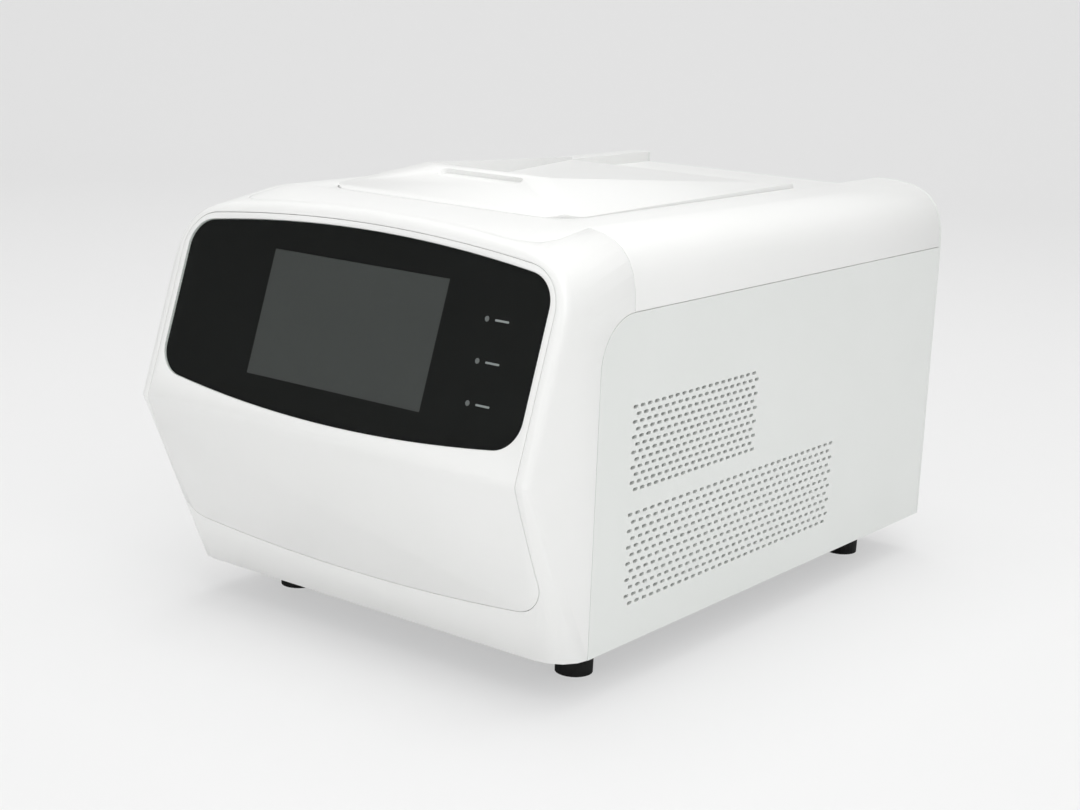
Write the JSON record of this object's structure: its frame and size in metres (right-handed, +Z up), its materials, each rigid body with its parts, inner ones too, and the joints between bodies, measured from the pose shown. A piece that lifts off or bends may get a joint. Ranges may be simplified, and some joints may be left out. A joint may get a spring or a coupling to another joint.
{
  "type": "real-time pcr machine",
  "caption": "Benchtop real-time PCR machine: white casing, leaning touch screen, lid that slides back over a channel, thermal block and scanning optics inside.",
  "frame": {"origin": "on the bench, under the middle of the machine's outline", "axes": "+X to the right seen from the front, +Y to the back, +Z up"},
  "size_m": [0.346, 0.5364, 0.3219],
  "materials": {
    "casing_white": "satin moulded",
    "panel_white": "fine powder coat",
    "glass": "polished",
    "print_black": "printed",
    "screen_grey": "unlit screen",
    "black_plastic": "moulded",
    "board_green": "solder mask",
    "chip_black": "moulded",
    "led_clear": "clear moulded",
    "steel": "zinc plated",
    "ground_steel": "ground",
    "screw_steel": "plated",
    "brass": "plain",
    "aluminium": "machined",
    "ceramic": "ceramic",
    "motor_black": "black",
    "lens_glass": "polished",
    "rubber": "moulded"
  },
  "bodies": {
    "chassis": {"front_shell": "casing_white", "face_plate": "casing_white", "top_cover": "casing_white", "side_panel_right": "panel_white", "side_panel_left": "panel_white", "rear_panel": "panel_white", "cover_glass": "glass", "glass_print": "print_black", "display_screen": "screen_grey", "display_frame": "black_plastic", "fan_guards": "black_plastic", "rear_fan_frame_right": "black_plastic", "rear_fan_frame_left": "black_plastic", "sink_fan_frame": "black_plastic", "power_inlet": "black_plastic", "switch_housing": "black_plastic", "network_port": "black_plastic", "block_collar": "black_plastic", "led_board": "board_green", "control_board": "board_green", "board_chips": "chip_black", "status_leds": "led_clear", "base_pan": "steel", "frame_plate_right": "steel", "frame_plate_left": "steel", "deck_plate": "steel", "power_supply": "steel", "slide_rails": "ground_steel", "fan_screws": "screw_steel", "panel_screws": "screw_steel", "foot_screws": "screw_steel", "usb_ports": "screw_steel", "inlet_pins": "brass", "sample_block": "aluminium", "heat_sink": "aluminium", "sink_posts": "aluminium", "board_standoffs": "aluminium", "peltier_modules": "ceramic", "rubber_feet": "rubber"},
    "lid": {"lid_cover": "casing_white", "carriage": "steel", "guide_blocks": "ground_steel", "optics_tray": "steel", "scan_rods": "ground_steel", "motor_bracket": "steel", "scan_motor": "motor_black", "platen_pins": "ground_steel"},
    "platen": {"heated_platen": "aluminium"},
    "scan_head": {"scan_head": "black_plastic", "lenses": "lens_glass"},
    "lead_screw": {"lead_screw": "ground_steel"},
    "rear_impeller_right": {"rear_impeller_right": "black_plastic"},
    "rear_impeller_left": {"rear_impeller_left": "black_plastic"},
    "sink_impeller": {"sink_impeller": "black_plastic"},
    "rocker": {"power_rocker": "black_plastic"}
  },
  "joints": [
    {"name": "lid_slide", "type": "slide", "parent": "chassis", "child": "lid", "axis": [0, 1, 0], "range_m": [0, 0.13]},
    {"name": "platen_lift", "type": "slide", "parent": "lid", "child": "platen", "axis": [0, 0, 1], "range_m": [0, 0.003]},
    {"name": "scan_slide", "type": "slide", "parent": "lid", "child": "scan_head", "axis": [1, 0, 0], "range_m": [0, 0.099]},
    {"name": "lead_screw_turn", "type": "hinge", "parent": "lid", "child": "lead_screw", "pos_m": [0, -0.02, 0.272], "axis": [1, 0, 0], "continuous": true},
    {"name": "rear_fan_right_turn", "type": "hinge", "parent": "chassis", "child": "rear_impeller_right", "pos_m": [0.06, 0.2508, 0.21], "axis": [0, 1, 0], "continuous": true},
    {"name": "rear_fan_left_turn", "type": "hinge", "parent": "chassis", "child": "rear_impeller_left", "pos_m": [-0.06, 0.2508, 0.21], "axis": [0, 1, 0], "continuous": true},
    {"name": "sink_fan_turn", "type": "hinge", "parent": "chassis", "child": "sink_impeller", "pos_m": [0, -0.092, 0.138], "axis": [0, 0, 1], "continuous": true},
    {"name": "power_rocker_tilt", "type": "hinge", "parent": "chassis", "child": "rocker", "pos_m": [-0.118, 0.264, 0.122], "axis": [1, 0, 0], "range_deg": [0, 16]}
  ],
  "couplings": [
    {"joint": "lead_screw_turn", "follows": "scan_slide", "rad_per_m": 314.16}
  ]
}
